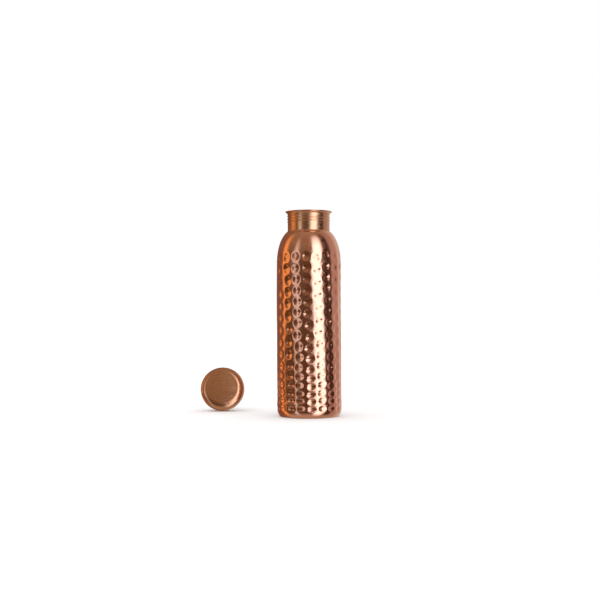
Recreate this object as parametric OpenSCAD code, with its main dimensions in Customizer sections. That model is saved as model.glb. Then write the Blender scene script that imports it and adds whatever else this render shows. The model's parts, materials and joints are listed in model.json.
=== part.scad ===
// Hammered copper water bottle, standing, with its screw cap lying on its side behind it.
// Millimetres. +Z is up, the origin is the centre of the ring that the bottle stands on.
// The cap is drawn upright about its own axis, with its skirt's edge at height 0, and is
// then tipped onto the table by the lying() module.

/* [Bottle body] */
// Outer diameter of the straight body
body_d = 75; // [70:1:84]
// Height of the mouth above the table
bottle_h = 238; // [228:1:250]
// Height at which the body starts to curve in to the shoulder
shoulder_z = 176; // [160:1:180]
// How far the shoulder's curve runs in from the body's side
shoulder_in = 18.5; // [16:0.5:19]
// How high the shoulder's curve would rise if it closed to flat
shoulder_rise = 40.5; // [36:0.5:42]
// Thickness of the drawn copper sheet
sheet = 0.6; // [0.5:0.05:0.9]

/* [Bottle base] */
// Height of the rounded corner at the foot of the body
corner_h = 8.5; // [6:0.5:10]
// Radius of that corner, seen from the side
corner_r = 11.6; // [10.5:0.1:14]
// Inner radius of the flat ring that the bottle stands on
foot_in_r = 30.2; // [28:0.2:31]
// How far the middle of the base disc is pushed up from its rim
base_kick = 2.8; // [1:0.1:5]

/* [Neck] */
// Outer diameter of the neck sleeve below its flare
neck_d = 48.8; // [47.6:0.2:50]
// Thickness of the neck sleeve's wall
neck_wall = 0.7; // [0.65:0.05:1]
// Radius of the trumpet flare at the mouth, on its outer side
flare_r = 4.6; // [4:0.1:5.5]
// Thickness of the curled bead on the flare's edge
bead_d = 1.3; // [1:0.1:1.6]
// How far the sleeve goes down inside the shoulder
spigot = 4; // [2:0.5:8]

/* [Thread] */
// Rise of the thread in one turn
pitch = 3.3; // [3:0.1:3.6]
// Height of the rolled ridge, and depth of the groove behind it
thread_depth = 0.55; // [0.4:0.05:0.6]
// Straight facets in one turn of the thread
thread_facets = 36; // [24:4:48]

/* [Cap] */
// Outer diameter of the cap's skirt
cap_d = 53.4; // [52:0.2:54.4]
// Height of the cap's side and rounded edge above the skirt's edge
cap_h = 12.2; // [10.2:0.5:15.2]
// How far the rounded edge runs in from the side to the face
cap_edge_in = 9; // [5:0.5:12]
// How far the rounded edge rises from the side to the face
cap_edge_rise = 6.6; // [4:0.2:7.6]
// Rise of the face's slight dome
cap_crown = 0.6; // [0.2:0.1:1.4]
// Outer diameter of the plug that goes down inside the neck
plug_d = 46.4; // [46:0.1:46.6]
// Length of the plug below the skirt's edge
plug_len = 11.5; // [10:0.5:13]
// Radius of the corner at the plug's closed end
plug_corner = 1.2; // [0.8:0.1:2]
// Thickness of the seal ring
seal_h = 2.75; // [2:0.05:3.2]

/* [Where the cap lies] */
// Sideways place of the cap's axis
cap_x = -106; // [-140:1:-70]
// Place of the skirt's centre behind the bottle's axis
cap_y = 73; // [40:1:100]

/* [Hidden] */
$fn = 96;
eps = 0.01;

body_r = body_d / 2;
neck_r = neck_d / 2;
neck_in_r = neck_r - neck_wall;

// The shoulder is part of an ellipse about this centre, up to where it meets the neck.
shoulder_cx = body_r - shoulder_in;
shoulder_end = acos((neck_r - shoulder_cx) / shoulder_in);
seam_z = shoulder_z + shoulder_rise * sin(shoulder_end);
shoulder_steps = 14;

// The foot's corner is an arc about this centre, cut off flat at the table.
corner_cx = body_r - corner_r;
corner_out_end = asin(corner_h / corner_r);
corner_in_end = asin((corner_h - sheet) / (corner_r - sheet));
corner_steps = 6;

// Base disc: a flat rim on the foot's ring, then a cone up to a flat middle.
disc_gap = 0.3;
disc_r = corner_cx + (corner_r - sheet) * cos(corner_in_end) - disc_gap;
disc_t = 0.6;
disc_cone_out = 29;
disc_cone_in = 24;
braze_leg = 0.9;

// The mouth's flare is an arc about this centre that ends in the bead.
flare_cx = neck_r + flare_r;
flare_end = 60;
flare_mid_r = flare_r + neck_wall / 2;
bead_cx = flare_cx - flare_mid_r * cos(flare_end);
bead_z = bottle_h - bead_d / 2;
flare_z = bead_z - flare_mid_r * sin(flare_end);
flare_steps = 8;
spigot_z = seam_z - spigot;

// Thread: trapezoid ridges, wide at the wall and narrow at the crest.
ridge_base = 1.7;
ridge_crest = 0.8;
groove_clear = 0.15;
root_bite = 0.3;
ridge_low_z = seam_z + 10.2;
ridge_high_z = flare_z + 0.6;
groove_high_z = bottle_h - 2;
neck_phase = 95;

// Cap sections.
cap_r = cap_d / 2;
plug_r = plug_d / 2;
plug_t = 0.6;
flange_z = 1.2;
plug_thread = 0.7;
plug_thread_high = -3.2;
plug_thread_low = -7.5;
seal_gap = 0.05;
seal_bore_gap = 0.1;
seal_side_gap = 0.3;
seal_chamfer = 0.8;
cap_braze_leg = 0.8;
arc_steps = 6;
cap_edge_steps = 8;
crown_steps = 6;

// The cap tips back until its skirt and its plug's corner both touch the table.
corner_drop = plug_len - plug_corner;
corner_step_in = cap_r - (plug_r - plug_corner);
rest_tilt = atan(corner_step_in / corner_drop)
          - asin(plug_corner / norm([corner_step_in, corner_drop]));

copper = [0.78, 0.43, 0.27];
copper_dark = [0.62, 0.33, 0.2];
copper_satin = [0.6, 0.38, 0.26];
braze_gold = [0.8, 0.6, 0.36];
silicone = [0.86, 0.85, 0.82];

// Places an upright cap piece on the table, leaning back on its skirt and plug.
module lying() {
  translate([cap_x, cap_y, cap_r * cos(rest_tilt)])
    rotate([90 - rest_tilt, 0, 0])
      children();
}

// Points of an ellipse arc from its side up to angle last, moved in along its normal by off.
function ellipse_curve(cx, cy, rx, ry, last, steps, off) =
  [for (i = [0 : steps])
     let (a = last * i / steps,
          n = [cos(a) / rx, sin(a) / ry],
          u = n / norm(n))
     [cx + rx * cos(a) - off * u[0], cy + ry * sin(a) - off * u[1]]];

function shoulder_curve(off, last) =
  ellipse_curve(shoulder_cx, shoulder_z, shoulder_in, shoulder_rise, last, shoulder_steps, off);

// Points up the cap's rounded edge, from the straight side to the face.
function cap_edge_curve(off) =
  ellipse_curve(cap_r - cap_edge_in, cap_h - cap_edge_rise, cap_edge_in, cap_edge_rise, 90, cap_edge_steps, off);

// Points down the foot's corner, from the straight side to angle last.
function corner_curve(off, last) =
  [for (i = [0 : corner_steps])
     let (a = last * i / corner_steps)
     [corner_cx + (corner_r - off) * cos(a), corner_h - (corner_r - off) * sin(a)]];

// Points up the mouth's flare, from the straight neck to the bead.
function flare_curve(off) =
  [for (i = [0 : flare_steps])
     let (a = flare_end * i / flare_steps)
     [flare_cx - (flare_r + off) * cos(a), flare_z + (flare_r + off) * sin(a)]];

// Points of a circle's arc from angle a0 to a1.
function arc(cx, cy, r, a0, a1, steps) =
  [for (i = [0 : steps])
     let (a = a0 + (a1 - a0) * i / steps)
     [cx + r * cos(a), cy + r * sin(a)]];

function reversed(p) = [for (i = [len(p) - 1 : -1 : 0]) p[i]];

// One ring of a thread: a trapezoid standing on radius r0 and reaching radius r1.
function thread_ring(a, z, r0, r1, w0, w1) =
  [for (q = [[r0, -w0 / 2], [r1, -w1 / 2], [r1, w1 / 2], [r0, w0 / 2]])
     [q[0] * cos(a), q[0] * sin(a), z + q[1]]];

// A right-hand helical ridge from height z0 to z1, fading to its root over the end turns.
module helix(z0, z1, root_r, crest_r, base_w, crest_w, phase, fade_low, fade_high) {
  turns = (z1 - z0) / pitch;
  steps = ceil(turns * thread_facets);
  rings = [for (i = [0 : steps])
    let (t = turns * i / steps,
         f = min(1, t / fade_low, (turns - t) / fade_high),
         lift = max(f, 0.02))
    thread_ring(phase + 360 * t, z0 + pitch * t, root_r,
                root_r + (crest_r - root_r) * lift, base_w, crest_w)];
  points = [for (r = rings) each r];
  last = 4 * steps;
  sides = [for (i = [0 : steps - 1], k = [0 : 3])
    let (a = 4 * i + k, b = 4 * i + (k + 1) % 4)
    each [[a, b, b + 4], [a, b + 4, a + 4]]];
  ends = [[3, 2, 1, 0], [last, last + 1, last + 2, last + 3]];
  polyhedron(points, concat(sides, ends));
}

// Drawn wall: foot ring, corner, straight side and shoulder, open at the neck.
module body_wall() {
  outer = concat(reversed(corner_curve(0, corner_out_end)), shoulder_curve(0, shoulder_end));
  inner = concat(reversed(corner_curve(sheet, corner_in_end)), shoulder_curve(sheet, shoulder_end));
  color(copper)
    difference() {
      rotate_extrude()
        polygon(concat([[foot_in_r, 0]], outer, reversed(inner), [[foot_in_r, sheet]]));
      translate([0, 0, shoulder_z])
        cylinder(h = bottle_h - shoulder_z, r = neck_r);
    }
}

// Pressed disc that closes the bottom, lying on the foot ring with its middle pushed up.
module base_disc() {
  top = sheet + disc_t;
  color(copper_dark)
    rotate_extrude()
      polygon([[0, sheet + base_kick], [disc_cone_in, sheet + base_kick],
               [disc_cone_out, sheet], [disc_r, sheet], [disc_r, top],
               [disc_cone_out, top], [disc_cone_in, top + base_kick], [0, top + base_kick]]);
}

// Ring of braze that seals the disc's rim to the wall, inside the bottle.
module base_braze() {
  wall = corner_curve(sheet, corner_in_end);
  color(braze_gold)
    rotate_extrude()
      polygon([[disc_r, sheet], wall[corner_steps], wall[corner_steps - 1],
               [disc_r - braze_leg, sheet + disc_t], [disc_r, sheet + disc_t]]);
}

// Neck tube with its rolled thread, its flare and the curled bead on the flare's edge.
module neck_sleeve() {
  outer = flare_curve(0);
  inner = flare_curve(neck_wall);
  color(copper)
    difference() {
      union() {
        rotate_extrude()
          polygon(concat([[neck_in_r, spigot_z], [neck_r, spigot_z]], outer, reversed(inner)));
        rotate_extrude()
          translate([bead_cx, bead_z])
            circle(d = bead_d, $fn = 32);
        helix(ridge_low_z, ridge_high_z, neck_r - root_bite, neck_r + thread_depth,
              ridge_base, ridge_crest, neck_phase, 0.25, 0.35);
      }
      helix(ridge_low_z, groove_high_z, neck_in_r - root_bite, neck_in_r + thread_depth,
            ridge_base + groove_clear, ridge_crest + groove_clear, neck_phase, 0.25, eps);
    }
}

// Fillet of braze in the corner between the neck and the shoulder.
module neck_braze() {
  color(braze_gold)
    difference() {
      rotate_extrude()
        polygon([[neck_r, seam_z - sheet], [neck_r + braze_leg, seam_z - sheet],
                 [neck_r + braze_leg / 3, seam_z + braze_leg / 4], [neck_r, seam_z + braze_leg]]);
      body_wall();
    }
}

// Drawn cap: straight skirt, rounded edge and a slightly domed face.
module cap_shell() {
  flat_r = cap_r - cap_edge_in;
  crown = [for (i = [1 : crown_steps])
    let (r = flat_r * (1 - i / crown_steps))
    [r, cap_crown * (1 - pow(r / flat_r, 2))]];
  outer = concat([[cap_r, 0]], cap_edge_curve(0), [for (p = crown) [p[0], cap_h + p[1]]]);
  inner = concat([[cap_r - sheet, 0]], cap_edge_curve(sheet),
                 [for (p = crown) [p[0], cap_h - sheet + p[1]]]);
  color(copper_satin)
    lying()
      rotate_extrude()
        polygon(concat(outer, reversed(inner)));
}

// Drawn plug: closed end, threaded wall, and a flange that closes the cap's underside.
module cap_plug() {
  end_c = -plug_len + plug_corner;
  outer = arc(plug_r - plug_corner, end_c, plug_corner, -90, 0, arc_steps);
  inner = arc(plug_r - plug_corner, end_c, plug_corner - plug_t, 0, -90, arc_steps);
  color(copper_dark)
    lying()
      union() {
        rotate_extrude()
          polygon(concat([[0, -plug_len]], outer,
                         [[plug_r, flange_z], [cap_r - sheet, flange_z],
                          [cap_r - sheet, flange_z + plug_t], [plug_r - plug_t, flange_z + plug_t]],
                         inner, [[0, -plug_len + plug_t]]));
        helix(plug_thread_low, plug_thread_high, plug_r - root_bite, plug_r + plug_thread,
              ridge_base - groove_clear, ridge_crest - groove_clear, 0, 0.2, 0.2);
      }
}

// Braze that holds the plug's flange inside the cap's skirt.
module cap_braze() {
  top = flange_z + plug_t;
  wall = cap_r - sheet;
  color(braze_gold)
    lying()
      rotate_extrude()
        polygon([[wall - cap_braze_leg, top], [wall, top], [wall, top + cap_braze_leg]]);
}

// Silicone ring under the flange, free to turn round the plug.
module seal_ring() {
  top = flange_z - seal_gap;
  low = top - seal_h;
  in_r = plug_r + seal_bore_gap;
  out_r = cap_r - sheet - seal_side_gap;
  color(silicone)
    lying()
      rotate_extrude()
        polygon([[in_r, low], [out_r - seal_chamfer, low], [out_r, low + seal_chamfer],
                 [out_r, top], [in_r, top]]);
}

body_wall();
base_disc();
base_braze();
neck_sleeve();
neck_braze();
cap_shell();
cap_plug();
cap_braze();
seal_ring();
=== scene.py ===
"""Hammered copper water bottle, standing open, with its cap lying beside it."""

import json
import math

import bpy
import numpy as np
from mathutils import Matrix, Vector


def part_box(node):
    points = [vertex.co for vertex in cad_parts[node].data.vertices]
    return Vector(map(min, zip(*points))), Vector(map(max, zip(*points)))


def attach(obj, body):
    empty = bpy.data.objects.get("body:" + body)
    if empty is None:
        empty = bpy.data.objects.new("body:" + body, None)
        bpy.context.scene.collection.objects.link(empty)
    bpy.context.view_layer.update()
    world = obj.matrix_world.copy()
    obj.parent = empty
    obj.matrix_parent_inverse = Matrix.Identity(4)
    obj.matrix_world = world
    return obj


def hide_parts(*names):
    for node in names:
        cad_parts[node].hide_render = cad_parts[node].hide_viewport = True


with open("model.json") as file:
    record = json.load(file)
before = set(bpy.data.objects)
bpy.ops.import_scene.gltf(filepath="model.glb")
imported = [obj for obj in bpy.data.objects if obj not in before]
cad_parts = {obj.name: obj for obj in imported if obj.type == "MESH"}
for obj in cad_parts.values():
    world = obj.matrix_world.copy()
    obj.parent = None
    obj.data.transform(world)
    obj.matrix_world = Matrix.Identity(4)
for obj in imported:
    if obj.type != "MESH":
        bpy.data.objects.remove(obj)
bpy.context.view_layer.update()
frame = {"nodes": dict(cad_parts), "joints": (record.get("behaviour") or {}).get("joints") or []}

MM = 0.001

# Sizes and places that the frame gives, in metres.
WALL_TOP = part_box("body_wall")[1]
NECK_LOW, NECK_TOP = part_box("neck_sleeve")
BODY_R = WALL_TOP.x
SEAM_Z = WALL_TOP.z
MOUTH_Z = NECK_TOP.z
SPIGOT_Z = NECK_LOW.z
CAP_TURN = next(j for j in frame["joints"] if j["name"] == "cap_turn")

# Driving dimensions of the bottle, as in the CAD model, in metres.
SHEET = 0.6 * MM
SHOULDER_Z = 176 * MM
SHOULDER_IN = 18.5 * MM
SHOULDER_RISE = 40.5 * MM
SHOULDER_CX = BODY_R - SHOULDER_IN
CORNER_H = 8.5 * MM
CORNER_R = 11.6 * MM
CORNER_CX = BODY_R - CORNER_R
FOOT_IN_R = 30.2 * MM
BASE_KICK = 2.8 * MM
DISC_T = 0.6 * MM
DISC_GAP = 0.3 * MM
DISC_CONE_OUT = 29 * MM
DISC_CONE_IN = 24 * MM
BRAZE_LEG = 0.9 * MM
NECK_R = 24.4 * MM
NECK_WALL = 0.7 * MM
FLARE_R = 4.6 * MM
FLARE_END = math.radians(60)
BEAD_R = 0.65 * MM
PITCH = 3.3 * MM
THREAD_DEPTH = 0.55 * MM
THREAD_LOW_Z = SEAM_Z + 10.2 * MM
GROOVE_HIGH_Z = MOUTH_Z - 2 * MM
RIDGE_OVER_FLARE = 0.6 * MM

# Driving dimensions of the cap, as in the CAD model. Heights count from its skirt's edge.
CAP_R = 26.7 * MM
CAP_H = 12.2 * MM
CAP_EDGE_IN = 9 * MM
CAP_EDGE_RISE = 6.6 * MM
CAP_CROWN = 0.6 * MM
FACE_R = CAP_R - CAP_EDGE_IN
PLUG_R = 23.2 * MM
PLUG_LEN = 11.5 * MM
PLUG_CORNER = 1.2 * MM
PLUG_T = 0.6 * MM
FLANGE_Z = 1.2 * MM
PLUG_THREAD = 0.7 * MM
PLUG_THREAD_LOW = -7.5 * MM
PLUG_THREAD_HIGH = -3.2 * MM
SEAL_H = 2.75 * MM
SEAL_GAP = 0.05 * MM
SEAL_BORE_GAP = 0.1 * MM
SEAL_SIDE_GAP = 0.3 * MM


class Graph:
    """A node tree with short calls for adding and linking nodes."""

    def __init__(self, tree):
        self.tree = tree
        tree.nodes.clear()

    def set(self, socket, value):
        """Links a socket's value, or sets it on the socket itself when it is the same all over."""
        if isinstance(value, bpy.types.NodeSocket):
            self.tree.links.new(value, socket)
        else:
            socket.default_value = value

    def add(self, kind, inputs=None, **settings):
        node = self.tree.nodes.new(kind)
        for key, value in settings.items():
            setattr(node, key, value)
        for key, value in (inputs or {}).items():
            self.set(node.inputs[key], value)
        return node

    def math(self, operation, a, b=0.0, clamp=False):
        return self.add("ShaderNodeMath", {0: a, 1: b}, operation=operation, use_clamp=clamp).outputs[0]

    def times(self, a, b):
        return self.math("MULTIPLY", a, b)

    def remap(self, value, low, high, to_low=0.0, to_high=1.0):
        inputs = {0: value, 1: low, 2: high, 3: to_low, 4: to_high}
        return self.add("ShaderNodeMapRange", inputs).outputs[0]

    def mix(self, factor, a, b, blend="MIX"):
        inputs = {0: factor, 6: a, 7: b}
        return self.add("ShaderNodeMix", inputs, data_type="RGBA", blend_type=blend).outputs[2]

    def noise(self, at, scale, detail, roughness=0.5):
        inputs = {"Vector": at, "Scale": scale, "Detail": detail, "Roughness": roughness}
        return self.add("ShaderNodeTexNoise", inputs).outputs[0]

    def surface(self, **inputs):
        """One Principled shader as the material's surface; an underscore stands for a space."""
        inputs = {key.replace("_", " "): value for key, value in inputs.items()}
        shader = self.add("ShaderNodeBsdfPrincipled", inputs)
        self.add("ShaderNodeOutputMaterial", {0: shader.outputs[0]})


# ---------------------------------------------------------------- camera, light and floor

def make_camera():
    """A long lens at about half the bottle's height, well in front of it."""
    data = bpy.data.cameras.new("camera")
    data.sensor_width = 36
    data.lens = 64.3
    cam = bpy.data.objects.new("camera", data)
    bpy.context.scene.collection.objects.link(cam)
    cam.location = (-0.0104, -1.25, 0.122)
    level = math.pi / 2
    tilt_up = math.radians(0.59)
    roll = math.radians(-0.2)
    turn = Matrix.Rotation(level + tilt_up, 3, "X") @ Matrix.Rotation(roll, 3, "Z")
    cam.rotation_euler = turn.to_euler()
    bpy.context.scene.camera = cam


# Upright soft boxes that the copper reflects. Sides are in degrees round the horizon: 0 is towards -Y,
# 90 towards +X. A side's lean is how far it shifts for a degree of elevation, close to the horizon.
SOFT_BOXES = [
    # low side, its lean, high side, its lean, softness, colour with strength, elevations where it fades
    (-175, 0.0, -113, 0.0, 6, (0.23, 0.105, 0.065, 1), (30, 70)),
    (-109, 0.5, -90, 3.2, 4, (1.05, 0.49, 0.15, 1), (24, 60)),
    (-54, -1.5, -40, 0.2, 2.5, (0.84, 0.80, 0.80, 1), (22, 55)),
    (15, -2.0, 50, -1.8, 5, (2.05, 2.1, 2.3, 1), (34, 66)),
    (58, -1.8, 86, 0.0, 3, (0.045, 0.018, 0.006, 1), (40, 75)),
    (88, 0.0, 122, 0.0, 5, (0.45, 0.31, 0.29, 1), (20, 70)),
    (122, 0.0, 178, 0.0, 8, (0.62, 0.54, 0.50, 1), (20, 70)),
]
BOX_FOOT = (-60, -25)
LEAN_LIMIT = 5.0
LEAN_FADE = (7, 14)

# The room between the boxes, by elevation: its colour at the horizon, then colours that take over
# between two elevations.
ROOM_LOW = (0.095, 0.046, 0.018, 1)
ROOM_CHANGES = [
    (2, 32, (0.27, 0.17, 0.095, 1)),
    (50, 80, (0.36, 0.26, 0.175, 1)),
    (-18, -50, (0.44, 0.34, 0.28, 1)),
]
WHITE = (1, 1, 1, 1)
FLOOR_LIGHT = 1.2


def metal_surroundings(g):
    """Colour that the metal sees in each direction: a brown room with soft boxes and dark gaps."""
    direction = g.add("ShaderNodeTexCoord").outputs["Generated"]
    x, y, z = g.add("ShaderNodeSeparateXYZ", {0: direction}).outputs
    angle = g.math("DEGREES", g.math("ARCTAN2", x, g.times(y, -1.0)))
    rise = g.math("DEGREES", g.math("ARCSINE", z))
    shift = g.remap(rise, -LEAN_LIMIT, LEAN_LIMIT, -LEAN_LIMIT, LEAN_LIMIT)
    shift = g.times(shift, g.remap(g.math("ABSOLUTE", rise), *LEAN_FADE, 1.0, 0.0))
    colour = ROOM_LOW
    for start, end, after in ROOM_CHANGES:
        colour = g.mix(g.remap(rise, start, end), colour, after)
    for low, low_lean, high, high_lean, soft, light, fade in SOFT_BOXES:
        from_low = g.math("SUBTRACT", angle, g.times(shift, low_lean))
        from_high = g.math("SUBTRACT", angle, g.times(shift, high_lean))
        across = g.times(g.remap(from_low, low - soft, low + soft),
                         g.remap(from_high, high + soft, high - soft))
        upright = g.times(g.remap(rise, *fade, 1.0, 0.0), g.remap(rise, *BOX_FOOT))
        colour = g.mix(g.times(across, upright), colour, light)
    return colour


def make_world():
    """White for the camera, even white on the floor, and the studio for the metal's reflections."""
    world = bpy.data.worlds.new("studio")
    bpy.context.scene.world = world
    world.use_nodes = True
    g = Graph(world.node_tree)
    metal_light = g.add("ShaderNodeBackground", {0: metal_surroundings(g), 1: 1.0}).outputs[0]
    floor_light = g.add("ShaderNodeBackground", {0: WHITE, 1: FLOOR_LIGHT}).outputs[0]
    backdrop = g.add("ShaderNodeBackground", {0: WHITE, 1: 1.0}).outputs[0]
    path = g.add("ShaderNodeLightPath").outputs
    lit = g.add("ShaderNodeMixShader", {0: path["Is Glossy Ray"], 1: floor_light, 2: metal_light})
    seen = g.add("ShaderNodeMixShader", {0: path["Is Camera Ray"], 1: lit.outputs[0], 2: backdrop})
    g.add("ShaderNodeOutputWorld", {0: seen.outputs[0]})


def make_floor():
    """Pale paper, just under the bottle's foot, that the copper doesn't mirror."""
    half = 6.0
    corners = [(-half, -half, 0), (half, -half, 0), (half, half, 0), (-half, half, 0)]
    mesh = bpy.data.meshes.new("floor")
    mesh.from_pydata(corners, [], [(0, 1, 2, 3)])
    floor = bpy.data.objects.new("floor", mesh)
    bpy.context.scene.collection.objects.link(floor)
    floor.location.z = -0.2 * MM
    floor.visible_glossy = False
    material, g = new_material("floor_paper")
    g.surface(Base_Color=(0.93, 0.93, 0.93, 1), Roughness=1.0, Specular_IOR_Level=0.0)
    mesh.materials.append(material)


# ---------------------------------------------------------------- mesh building

AXIS_R = 1e-7


def arc(cx, cz, r, a0, a1, steps):
    """Points of a circle's arc, angles in radians."""
    return [(cx + r * math.cos(a), cz + r * math.sin(a)) for a in np.linspace(a0, a1, steps + 1)]


def ellipse(cx, cz, rx, rz, last, steps, off=0.0):
    """Points of an ellipse's arc from its side up to angle last, moved in along its normal by off."""
    points = []
    for a in np.linspace(0, last, steps + 1):
        n = np.array([math.cos(a) / rx, math.sin(a) / rz])
        n /= np.linalg.norm(n)
        points.append((cx + rx * math.cos(a) - off * n[0], cz + rz * math.sin(a) - off * n[1]))
    return points


def spaced(points, step):
    """The same outline with a point about every step along its straight runs."""
    out = [points[0]]
    for (r0, z0), (r1, z1) in zip(points, points[1:]):
        n = max(1, round(math.hypot(r1 - r0, z1 - z0) / step))
        out += [(r0 + (r1 - r0) * k / n, z0 + (z1 - z0) * k / n) for k in range(1, n + 1)]
    return out


def normals_of(points):
    """Outward normals of an outline that is walked upwards along its outer side."""
    along = np.gradient(np.array(points), axis=0)
    n = np.stack([along[:, 1], -along[:, 0]], axis=1)
    return n / np.linalg.norm(n, axis=1, keepdims=True)


def rings_of(points, segments, push=None):
    """Rings of 3-D points round the Z axis. push is how far each point moves along its normal."""
    p = np.array(points)
    a = np.arange(segments) * math.tau / segments
    r = np.repeat(p[:, :1], segments, axis=1)
    z = np.repeat(p[:, 1:], segments, axis=1)
    if push is not None:
        n = normals_of(points)
        r = r + n[:, :1] * push
        z = z + n[:, 1:] * push
    return np.stack([r * np.cos(a), r * np.sin(a), z], axis=2)


def skin(name, rings, material, sharp, place=None, hollow=None):
    """One closed mesh from a loop of rings. A ring on the axis becomes a single point."""
    count, segments = rings.shape[:2]
    on_axis = np.hypot(rings[:, :, 0], rings[:, :, 1]).max(axis=1) < AXIS_R
    sizes = np.where(on_axis, 1, segments)
    start = np.cumsum(sizes) - sizes
    k = np.arange(segments)
    k1 = (k + 1) % segments
    faces = []
    for i in range(count):
        j = (i + 1) % count
        if on_axis[i] and on_axis[j]:
            continue
        if on_axis[i]:
            corners = (np.full(segments, start[i]), start[j] + k1, start[j] + k)
        elif on_axis[j]:
            corners = (start[i] + k, start[i] + k1, np.full(segments, start[j]))
        else:
            corners = (start[i] + k, start[i] + k1, start[j] + k1, start[j] + k)
        faces += np.stack(corners, axis=1).tolist()
    points = np.concatenate([ring[:size] for ring, size in zip(rings, sizes)])
    mesh = bpy.data.meshes.new(name)
    mesh.from_pydata(points.tolist(), [], faces)
    mesh.shade_smooth()
    mesh.set_sharp_from_angle(angle=math.radians(sharp))
    if hollow is not None:
        values = np.concatenate([row[:size] for row, size in zip(hollow, sizes)])
        layer = mesh.attributes.new("hollow", "FLOAT", "POINT")
        layer.data.foreach_set("value", values.astype(np.float32))
    mesh.materials.append(material)
    obj = bpy.data.objects.new(name, mesh)
    bpy.context.scene.collection.objects.link(obj)
    if place is not None:
        obj.matrix_world = place
    return obj


CREST_WIDTH = 1.35


def helix_rise(points, segments, low, high, phase, depth, width, fade):
    """How far a rolled thread lifts each point of an outline, as rings of heights.

    phase and fade are in turns. A CREST_WIDTH over 1 flattens the crest.
    """
    z = np.array(points)[:, 1:]
    a = np.arange(segments)[None, :] / segments - phase
    turns = (high - low) / PITCH
    u = (z - low) / PITCH - a
    nearest = np.round(u)
    t = nearest + a
    gap = np.abs(u - nearest) * PITCH / (width / 2)
    shape = np.clip(CREST_WIDTH * (1 + np.cos(np.pi * np.clip(gap, 0, 1))) / 2, 0, 1)
    ends = np.clip(np.minimum(t / fade, (turns - t) / fade), 0, 1)
    return depth * shape * ends


# ---------------------------------------------------------------- hammered wall

COLUMNS = 19
FIRST_COLUMN = math.radians(-96)
DRIFT = math.radians(10)
DIMPLE_TOP_Z = 184 * MM
DIMPLE_LOW_Z = 10.5 * MM
DIMPLE_HALF_W = 5.7 * MM
DIMPLE_DEPTH = 0.98 * MM
BOWL_SHAPE = 1.6

# Height between blows: STEP_LOW at the foot, growing by STEP_GROWS over the stretch above STEP_FROM_Z.
STEP_LOW = 8.8 * MM
STEP_GROWS = 5.2 * MM
STEP_FROM_Z = 12 * MM
STEP_OVER = 70 * MM

# How unevenly the blows fall.
SEED = 11
STEP_SPREAD = (0.93, 1.07)
HALF_H_SPREAD = (0.9, 1.02)
HALF_W_SPREAD = (0.93, 1.06)
DEPTH_SPREAD = (0.85, 1.12)
LOW_SPREAD = 0.8 * MM
TOP_SPREAD = 2.5 * MM
ANGLE_SPREAD = math.radians(0.8)

# Long waves of the hammered side, the swell over the foot, and how far it all sits inside the CAD wall.
WAVE = 0.10 * MM
WAVE_INSET = 0.12 * MM
WAVE_TOP_Z = 195 * MM
WAVE_TOP_FADE = 20 * MM
WAVE_LOW_FADE = 8 * MM
SWELL = 0.25 * MM
SWELL_Z = 15 * MM
SWELL_SPREAD = 3.5 * MM

WALL_SEGMENTS = 288
WALL_STEP = 0.8 * MM
INNER_STRIDE = 4


def row_step(z):
    """Height between blows in a column at height z."""
    t = min(1, max(0, (z - STEP_FROM_Z) / STEP_OVER))
    return STEP_LOW + STEP_GROWS * t * t * (3 - 2 * t)


def hammer_blows(rng):
    """Angle, height, half height, half width and depth of every blow, column by column."""
    span = DIMPLE_TOP_Z - DIMPLE_LOW_Z
    blows = []
    for column in range(COLUMNS):
        heights = [0.0]
        while heights[-1] < span:
            heights.append(heights[-1] + row_step(DIMPLE_LOW_Z + heights[-1]) * rng.uniform(*STEP_SPREAD))
        if rng.random() < 0.5:
            heights.pop()
        low = DIMPLE_LOW_Z + rng.uniform(-LOW_SPREAD, LOW_SPREAD)
        top = DIMPLE_TOP_Z + rng.uniform(-TOP_SPREAD, TOP_SPREAD)
        stretch = (top - low) / heights[-1]
        for h in heights:
            z = low + h * stretch
            turn = DRIFT * (DIMPLE_TOP_Z - z) / span
            angle = FIRST_COLUMN + column * math.tau / COLUMNS + turn + rng.normal(0, ANGLE_SPREAD)
            half_h = row_step(z) * stretch * 0.5 * rng.uniform(*HALF_H_SPREAD)
            half_w = DIMPLE_HALF_W * rng.uniform(*HALF_W_SPREAD)
            blows.append((angle, z, half_h, half_w, DIMPLE_DEPTH * rng.uniform(*DEPTH_SPREAD)))
    return blows


def hammered(points, blows):
    """Depth of the dimples at each point of the wall's outline, as rings."""
    p = np.array(points)
    r = p[:, :1]
    z = p[:, 1:]
    a = np.arange(WALL_SEGMENTS)[None, :] * math.tau / WALL_SEGMENTS
    depth = np.zeros((len(p), WALL_SEGMENTS))
    for angle, centre, half_h, half_w, deepest in blows:
        dx = (np.mod(a - angle + math.pi, math.tau) - math.pi) * r / half_w
        dz = (z - centre) / half_h
        bowl = np.clip(1 - dx * dx - dz * dz, 0, 1) ** BOWL_SHAPE
        depth = np.maximum(depth, deepest * bowl)
    return depth


def side_waves(points):
    """How far the side stands off its true outline: long waves, and a swell over the foot."""
    z = np.array(points)[:, 1:]
    a = np.arange(WALL_SEGMENTS)[None, :] * math.tau / WALL_SEGMENTS
    side_only = np.clip((WAVE_TOP_Z - z) / WAVE_TOP_FADE, 0, 1) * np.clip(z / WAVE_LOW_FADE, 0, 1)
    waves = WAVE * (np.sin(3 * a + 40 * z) + np.sin(5 * a - 65 * z + 1.3))
    swell = SWELL * np.exp(-((z - SWELL_Z) / SWELL_SPREAD) ** 2)
    return (waves - WAVE_INSET) * side_only + swell


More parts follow.
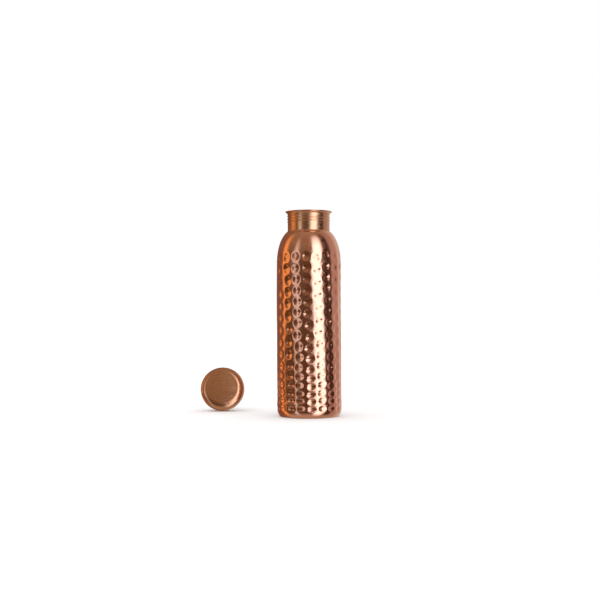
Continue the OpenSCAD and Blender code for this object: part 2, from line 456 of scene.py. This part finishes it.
def wall_outline(off):
    """The wall's outline from its foot to the seam, moved in by off."""
    corner_end = math.asin((CORNER_H - off) / (CORNER_R - off))
    corner = arc(CORNER_CX, CORNER_H, CORNER_R - off, -corner_end, 0, 10)
    last = math.acos((NECK_R - SHOULDER_CX) / SHOULDER_IN)
    shoulder = ellipse(SHOULDER_CX, SHOULDER_Z, SHOULDER_IN, SHOULDER_RISE, last, 48, off)
    shoulder = [p for p in shoulder if p[0] >= NECK_R - MM / 1000]
    straight = spaced([corner[-1], shoulder[0]], WALL_STEP)
    return corner + straight[1:-1] + shoulder


def make_wall(material):
    """The hammered wall, dimpled through, with its turned-in foot."""
    blows = hammer_blows(np.random.default_rng(SEED))
    outer = wall_outline(0)
    inner = wall_outline(SHEET)
    inner = inner[:1] + inner[1:-1:INNER_STRIDE] + inner[-1:]
    foot = [(FOOT_IN_R, SHEET), (FOOT_IN_R, 0)]
    depth = hammered(outer, blows)
    rings = np.concatenate([
        rings_of(outer, WALL_SEGMENTS, side_waves(outer) - depth),
        rings_of(inner, WALL_SEGMENTS, -hammered(inner, blows))[::-1],
        rings_of(foot, WALL_SEGMENTS),
    ])
    plain = np.zeros((len(inner) + len(foot), WALL_SEGMENTS))
    hollow = np.concatenate([depth / DIMPLE_DEPTH, plain])
    wall = skin("bottle_hammered_wall", rings, material, sharp=55, hollow=hollow)
    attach(wall, "bottle")
    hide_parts("body_wall")


# ---------------------------------------------------------------- neck

NECK_SEGMENTS = 240
NECK_STEP = 0.17 * MM
NECK_PHASE = 95 / 360
RIDGE_W = 1.9 * MM
RIDGE_FADE = 0.3


def make_neck(material):
    """The sleeve: rolled thread on both faces, trumpet flare and curled bead."""
    flare_cx = NECK_R + FLARE_R
    flare_mid = FLARE_R + NECK_WALL / 2
    bead_x = flare_cx - flare_mid * math.cos(FLARE_END)
    bead_z = MOUTH_Z - BEAD_R
    flare_z = bead_z - flare_mid * math.sin(FLARE_END)
    outer_end = math.pi - math.radians(53)
    inner_end = math.pi - math.radians(54)

    def face_outline(r, flare_r, end):
        upright = spaced([(r, SPIGOT_Z), (r, flare_z)], NECK_STEP)
        return upright + arc(flare_cx, flare_z, flare_r, math.pi, end, 14)[1:]

    def thread(points, high):
        return helix_rise(points, NECK_SEGMENTS, THREAD_LOW_Z, high,
                          NECK_PHASE, THREAD_DEPTH, RIDGE_W, RIDGE_FADE)

    def bead_angle(point):
        return math.atan2(point[1] - bead_z, point[0] - bead_x)

    outer = face_outline(NECK_R, FLARE_R, outer_end)
    inner = face_outline(NECK_R - NECK_WALL, FLARE_R + NECK_WALL, inner_end)
    bead = arc(bead_x, bead_z, BEAD_R, bead_angle(outer[-1]), bead_angle(inner[-1]), 16)[1:-1]
    rings = np.concatenate([
        rings_of(outer, NECK_SEGMENTS, thread(outer, flare_z + RIDGE_OVER_FLARE)),
        rings_of(bead, NECK_SEGMENTS),
        rings_of(inner, NECK_SEGMENTS, thread(inner, GROOVE_HIGH_Z))[::-1],
    ])
    neck = skin("neck_threaded_sleeve", rings, material, sharp=60)
    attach(neck, "bottle")
    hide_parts("neck_sleeve")


def make_neck_braze(material):
    """A thin fillet of braze in the neck's seam, with a slightly uneven edge."""
    wide = NECK_R + BRAZE_LEG
    across = (wide - SHOULDER_CX) / SHOULDER_IN
    shoulder_z = SHOULDER_Z + SHOULDER_RISE * math.sqrt(1 - across ** 2)
    outline = [
        (NECK_R - 0.02 * MM, SEAM_Z - 0.2 * MM),
        (wide, shoulder_z - 0.05 * MM),
        (NECK_R + 0.55 * BRAZE_LEG, SEAM_Z - 0.02 * MM),
        (NECK_R + 0.25 * BRAZE_LEG, SEAM_Z + 0.3 * MM),
        (NECK_R - 0.02 * MM, SEAM_Z + 0.85 * MM),
    ]
    rings = rings_of(outline, NECK_SEGMENTS)
    a = np.arange(NECK_SEGMENTS) * math.tau / NECK_SEGMENTS
    ripple = 0.07 * MM * (np.sin(9 * a) + 0.7 * np.sin(23 * a + 1) + 0.5 * np.sin(41 * a + 2))
    rings[2:4, :, 2] += ripple * 0.5
    rings[4, :, 2] += ripple
    braze = skin("neck_braze_fillet", rings, material, sharp=80)
    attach(braze, "bottle")
    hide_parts("neck_braze")


# ---------------------------------------------------------------- base

BASE_SEGMENTS = 144
DISC_TOP_Z = SHEET + DISC_T
DISC_RIM_R = CORNER_CX + math.sqrt((CORNER_R - SHEET) ** 2 - (CORNER_H - SHEET) ** 2) - DISC_GAP
DISC_STEP = 1.2 * MM

# A ring pressed into the disc's middle.
PRESS_OUT_R = 14.4 * MM
PRESS_IN_R = 11.8 * MM
PRESS_SLOPE = 0.8 * MM
PRESS_DEPTH = 0.28 * MM


def disc_outline(lift):
    """One face of the disc from rim to middle: flat rim, cone and pressed ring."""
    low = SHEET + lift
    high = low + BASE_KICK
    outline = [
        (DISC_RIM_R, low),
        (DISC_CONE_OUT, low),
        (DISC_CONE_OUT - 0.8 * MM, low + 0.08 * MM),
        (DISC_CONE_IN + 0.8 * MM, high - 0.12 * MM),
        (DISC_CONE_IN - 0.6 * MM, high),
        (PRESS_OUT_R, high),
        (PRESS_OUT_R - PRESS_SLOPE, high - PRESS_DEPTH),
        (PRESS_IN_R + PRESS_SLOPE, high - PRESS_DEPTH),
        (PRESS_IN_R, high),
        (0, high),
    ]
    return spaced(outline, DISC_STEP)


def make_base(material):
    """The pressed disc that closes the bottom."""
    outline = disc_outline(0) + disc_outline(DISC_T)[::-1]
    disc = skin("base_pressed_disc", rings_of(outline, BASE_SEGMENTS), material, sharp=70)
    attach(disc, "bottle")
    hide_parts("base_disc")


def make_base_braze(material):
    """The ring of braze between the disc's rim and the wall."""
    wall = wall_outline(SHEET)
    seat_z = SHEET + 0.01 * MM
    outline = [
        (DISC_RIM_R, seat_z),
        (wall[0][0], seat_z),
        wall[2],
        (DISC_RIM_R, DISC_TOP_Z + 0.35 * MM),
        (DISC_RIM_R - BRAZE_LEG, DISC_TOP_Z),
    ]
    ring = skin("base_braze_ring", rings_of(outline, BASE_SEGMENTS), material, sharp=80)
    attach(ring, "bottle")
    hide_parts("base_braze")


# ---------------------------------------------------------------- cap

CAP_SEGMENTS = 192
SKIRT_ROUND = 0.25 * MM
PLUG_STEP = 0.18 * MM
PLUG_RIDGE_W = 1.75 * MM
PLUG_RIDGE_FADE = 0.25
SEAL_ROUND = 0.8 * MM


def cap_place():
    """Upright cap pieces stand on the joint's point, with Z along the joint's axis."""
    axis = Vector(CAP_TURN["axis"]).normalized()
    side = Vector((1, 0, 0))
    turn = Matrix((side, axis.cross(side), axis)).transposed()
    return Matrix.Translation(CAP_TURN["pos_m"]) @ turn.to_4x4()


def cap_edge(steps, off):
    """The rounded edge between the cap's side and its face, moved in by off."""
    edge_z = CAP_H - CAP_EDGE_RISE
    return ellipse(FACE_R, edge_z, CAP_EDGE_IN, CAP_EDGE_RISE, math.pi / 2, steps, off)


def cap_face(off):
    """The slightly domed face from its edge to its middle, moved in by off."""
    return [(r, CAP_H - off + CAP_CROWN * (1 - (r / FACE_R) ** 2)) for r in np.linspace(FACE_R, 0, 15)[1:]]


def make_cap_shell(material):
    """The drawn outer cup, with its rounded edge and slightly domed face."""
    inner_r = CAP_R - SHEET
    outer = arc(CAP_R - SKIRT_ROUND, SKIRT_ROUND, SKIRT_ROUND, -math.pi / 2, 0, 4)
    outer += [(CAP_R, 2 * MM), (CAP_R, 4 * MM)]
    outer += cap_edge(26, 0) + cap_face(0)
    inner = cap_edge(12, SHEET) + cap_face(SHEET)
    skirt = [(inner_r, 0.15 * MM), (inner_r + 0.12 * MM, 0)]
    rings = rings_of(outer + inner[::-1] + skirt, CAP_SEGMENTS)
    shell = skin("cap_outer_shell", rings, material, sharp=60, place=cap_place())
    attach(shell, "cap")
    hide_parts("cap_shell")


def make_cap_plug(material):
    """The closed plug with its thread, and the flange that closes the cap's underside."""
    corner_x = PLUG_R - PLUG_CORNER
    corner_z = -PLUG_LEN + PLUG_CORNER
    flange_r = CAP_R - SHEET - 0.03 * MM
    flange_top = FLANGE_Z + PLUG_T
    outer = [(0, -PLUG_LEN), (PLUG_R - 4 * MM, -PLUG_LEN), (corner_x - 0.4 * MM, -PLUG_LEN)]
    outer += arc(corner_x, corner_z, PLUG_CORNER, -math.pi / 2, 0, 8)
    outer += spaced([outer[-1], (PLUG_R, FLANGE_Z)], PLUG_STEP)[1:]
    thread = helix_rise(outer, CAP_SEGMENTS, PLUG_THREAD_LOW, PLUG_THREAD_HIGH, 0,
                        PLUG_THREAD, PLUG_RIDGE_W, PLUG_RIDGE_FADE)
    back = [(flange_r, FLANGE_Z), (flange_r, flange_top), (PLUG_R - PLUG_T, flange_top)]
    back += arc(corner_x, corner_z, PLUG_CORNER - PLUG_T, 0, -math.pi / 2, 6)
    back += [(0, -PLUG_LEN + PLUG_T)]
    rings = np.concatenate([rings_of(outer, CAP_SEGMENTS, thread), rings_of(back, CAP_SEGMENTS)])
    plug = skin("cap_threaded_plug", rings, material, sharp=60, place=cap_place())
    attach(plug, "cap")
    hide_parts("cap_plug")


def make_seal(material):
    """The silicone ring under the flange, rounded where it meets the flare."""
    top = FLANGE_Z - SEAL_GAP
    low = top - SEAL_H
    in_r = PLUG_R + SEAL_BORE_GAP
    out_r = CAP_R - SHEET - SEAL_SIDE_GAP
    outline = [(in_r, low + 0.3 * MM), (in_r + 0.3 * MM, low), (out_r - 1.0 * MM, low)]
    outline += arc(out_r - SEAL_ROUND, low + SEAL_ROUND, SEAL_ROUND, -math.pi / 2 + 0.2, 0, 8)
    outline += [(out_r, top - 0.1 * MM), (out_r - 0.1 * MM, top), (in_r, top)]
    seal = skin("cap_seal_ring", rings_of(outline, CAP_SEGMENTS), material, sharp=50, place=cap_place())
    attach(seal, "seal")
    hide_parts("seal_ring")


# ---------------------------------------------------------------- materials

BLUSH = (1.0, 0.66, 0.5, 1)


def new_material(name):
    material = bpy.data.materials.new(name)
    material.use_nodes = True
    return material, Graph(material.node_tree)


def tool_marks(g, place, direction):
    """Fine noise drawn out along the marks of the tool: rings, upright or brushed across."""
    if direction == "rings":
        x, y, z = g.add("ShaderNodeSeparateXYZ", {0: place}).outputs
        radius = g.math("SQRT", g.math("ADD", g.times(x, x), g.times(y, y)))
        parts = {0: g.times(radius, 1300), 1: g.times(x, 14), 2: g.times(z, 1500)}
        drawn_out = g.add("ShaderNodeCombineXYZ", parts)
    else:
        stretch = {"upright": (420, 420, 9), "brushed": (14, 900, 14)}[direction]
        drawn_out = g.add("ShaderNodeVectorMath", {0: place, 1: stretch}, operation="MULTIPLY")
    return g.noise(drawn_out.outputs[0], 1.0, 4, 0.6)


def copper(name, bright, deep, rough, marks, mark_depth, patina, ripples, hollow=False):
    """Copper with tarnish clouds, tool marks, fine spots and a slightly uneven polish.

    Tarnish goes from bright to deep, by patina at most. Where hollow is set, the deep middles of the
    dimples get more of it and the land between them gets less, which is partly patina and partly painted
    shade in the hollows.
    """
    material, g = new_material(name)
    place = g.add("ShaderNodeTexCoord").outputs["Object"]
    clouds = g.noise(place, 38, 5, 0.62)
    spots = g.noise(place, 310, 3, 0.55)
    lines = tool_marks(g, place, marks)
    tarnish_and_dimple_shade = g.remap(clouds, 0.42, 0.72, 0.0, patina)
    if hollow:
        # Dimple depth darkens the colour: patina in the hollows, plus painted shade that darkens the
        # dimples and lightens the land between them.
        depth = g.add("ShaderNodeAttribute", attribute_name="hollow").outputs["Fac"]
        tarnish_and_dimple_shade = g.math("ADD", tarnish_and_dimple_shade, g.remap(depth, 0.1, 1.0, -0.06, 0.16), clamp=True)
    colour = g.mix(tarnish_and_dimple_shade, bright, deep)
    colour = g.mix(g.remap(spots, 0.6, 0.8, 0.0, 0.22), colour, deep)
    colour = g.mix(g.remap(lines, 0.3, 0.7, 0.0, 0.12), colour, BLUSH, "SOFT_LIGHT")
    polish = g.remap(clouds, 0.3, 0.75, rough * 0.8, rough * 1.35)
    polish = g.math("ADD", polish, g.remap(lines, 0.35, 0.7, -0.03, 0.07))
    polish = g.math("ADD", polish, g.remap(spots, 0.55, 0.8, 0.0, 0.08))
    fine = g.add("ShaderNodeBump", {"Height": lines, "Strength": mark_depth, "Distance": 0.03 * MM})
    bump = g.add("ShaderNodeBump", {"Height": g.noise(place, 160, 2), "Strength": ripples,
                                    "Distance": 0.12 * MM, "Normal": fine.outputs[0]})
    g.surface(Base_Color=colour, Roughness=polish, Normal=bump.outputs[0], Metallic=1.0)
    return material


def braze_alloy():
    """Golden braze: grainy, a little oxidised along its length."""
    material, g = new_material("braze_alloy")
    place = g.add("ShaderNodeTexCoord").outputs["Object"]
    grain = g.noise(place, 900, 4)
    clouds = g.noise(place, 120, 3)
    colour = g.mix(g.remap(clouds, 0.4, 0.7), (0.83, 0.53, 0.30, 1), (0.55, 0.29, 0.16, 1))
    polish = g.remap(grain, 0.3, 0.7, 0.26, 0.5)
    bump = g.add("ShaderNodeBump", {"Height": grain, "Strength": 0.5, "Distance": 0.08 * MM})
    g.surface(Base_Color=colour, Roughness=polish, Normal=bump.outputs[0], Metallic=1.0)
    return material


def silicone():
    """Milky silicone with faint clouds and a dusty, matte surface."""
    material, g = new_material("milky_silicone")
    place = g.add("ShaderNodeTexCoord").outputs["Object"]
    clouds = g.noise(place, 90, 4)
    dust = g.noise(place, 1400, 2)
    colour = g.mix(g.remap(clouds, 0.35, 0.7), (0.83, 0.81, 0.77, 1), (0.72, 0.69, 0.63, 1))
    polish = g.remap(dust, 0.3, 0.7, 0.42, 0.62)
    bump = g.add("ShaderNodeBump", {"Height": dust, "Strength": 0.35, "Distance": 0.05 * MM})
    g.surface(Base_Color=colour, Roughness=polish, Normal=bump.outputs[0],
              Subsurface_Weight=0.35, Subsurface_Radius=(0.0016, 0.0014, 0.0012))
    return material


def hammered_copper():
    return copper("hammered_copper", (0.93, 0.52, 0.375, 1), (0.76, 0.33, 0.18, 1), rough=0.15,
                  marks="upright", mark_depth=0.22, patina=0.30, ripples=0.10, hollow=True)


def neck_copper():
    return copper("neck_copper", (0.79, 0.465, 0.285, 1), (0.62, 0.27, 0.14, 1), rough=0.24,
                  marks="rings", mark_depth=0.4, patina=0.25, ripples=0.10)


def base_copper():
    return copper("base_copper", (0.88, 0.47, 0.33, 1), (0.55, 0.24, 0.13, 1), rough=0.32,
                  marks="rings", mark_depth=0.6, patina=0.7, ripples=0.22)


def cap_copper():
    return copper("cap_copper", (0.80, 0.44, 0.27, 1), (0.55, 0.24, 0.12, 1), rough=0.22,
                  marks="brushed", mark_depth=0.4, patina=0.5, ripples=0.06)


def plug_copper():
    return copper("plug_copper", (0.90, 0.50, 0.36, 1), (0.6, 0.27, 0.15, 1), rough=0.28,
                  marks="rings", mark_depth=0.6, patina=0.5, ripples=0.22)


def retouch(node, material):
    """Gives a CAD node that stays a finished material."""
    materials = frame["nodes"][node].data.materials
    materials.clear()
    materials.append(material)


# ---------------------------------------------------------------- the scene

bpy.context.scene.view_settings.view_transform = "Standard"
make_camera()
make_world()
make_floor()

braze = braze_alloy()
make_wall(hammered_copper())
make_neck(neck_copper())
make_neck_braze(braze)
make_base(base_copper())
make_base_braze(braze)
make_cap_shell(cap_copper())
make_cap_plug(plug_copper())
make_seal(silicone())
retouch("cap_braze", braze)
